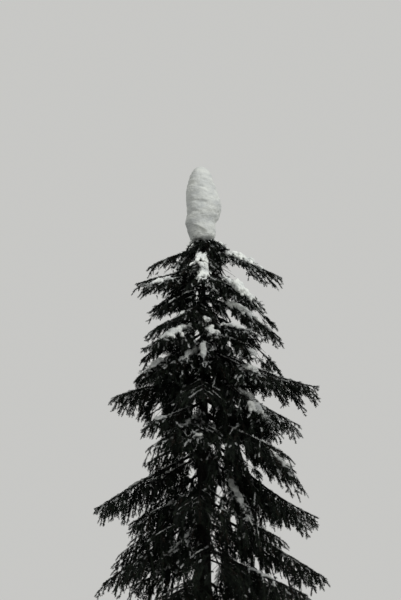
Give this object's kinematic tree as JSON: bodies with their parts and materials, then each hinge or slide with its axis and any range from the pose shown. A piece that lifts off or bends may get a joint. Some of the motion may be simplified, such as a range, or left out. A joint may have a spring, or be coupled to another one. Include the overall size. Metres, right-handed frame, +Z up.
{
  "type": "norway spruce tree",
  "caption": "Tall narrow snow-laden norway spruce: straight tapering trunk with root flare, drooping boughs with hanging needle sprays, and a high snow cap on the leader.",
  "frame": {"origin": "middle of the flat cut under the trunk, at ground level", "axes": "+Z up along the trunk, -Y towards the side that the picture shows, +X to that side's right"},
  "size_m": [3.9197, 4.2198, 12],
  "materials": {
    "bark": "dark grey-brown scaly bark, very rough and matt",
    "needles": "very dark green needles in dense sprays, slightly glossy",
    "snow": "soft settled snow with faint layer lines, matt with a slight glitter"
  },
  "bodies": {
    "root": {"trunk": "bark", "snow_cap": "snow", "bough_26": "bark", "bough_29": "bark", "bough_30": "bark", "bough_31": "bark", "bough_32": "bark", "bough_33": "bark", "bough_35": "bark", "bough_36": "bark", "bough_38": "bark", "bough_40": "bark", "foliage_01": "needles", "foliage_02": "needles", "foliage_03": "needles", "foliage_04": "needles", "foliage_05": "needles", "foliage_06": "needles", "foliage_07": "needles", "foliage_08": "needles", "foliage_09": "needles", "foliage_10": "needles", "foliage_11": "needles", "foliage_12": "needles", "foliage_13": "needles", "foliage_14": "needles", "foliage_15": "needles", "foliage_16": "needles", "foliage_17": "needles", "foliage_18": "needles", "foliage_19": "needles", "foliage_20": "needles", "foliage_21": "needles", "foliage_22": "needles", "foliage_23": "needles", "foliage_24": "needles", "foliage_25": "needles", "foliage_26": "needles", "foliage_27": "needles", "foliage_28": "needles", "foliage_29": "needles", "foliage_30": "needles", "foliage_31": "needles", "foliage_32": "needles", "foliage_33": "needles", "foliage_34": "needles", "foliage_35": "needles", "foliage_36": "needles", "foliage_37": "needles", "foliage_38": "needles", "foliage_39": "needles", "foliage_40": "needles", "snow_01": "snow", "snow_03": "snow", "snow_06": "snow", "snow_07": "snow", "snow_14": "snow", "snow_20": "snow"}
  },
  "joints": []
}
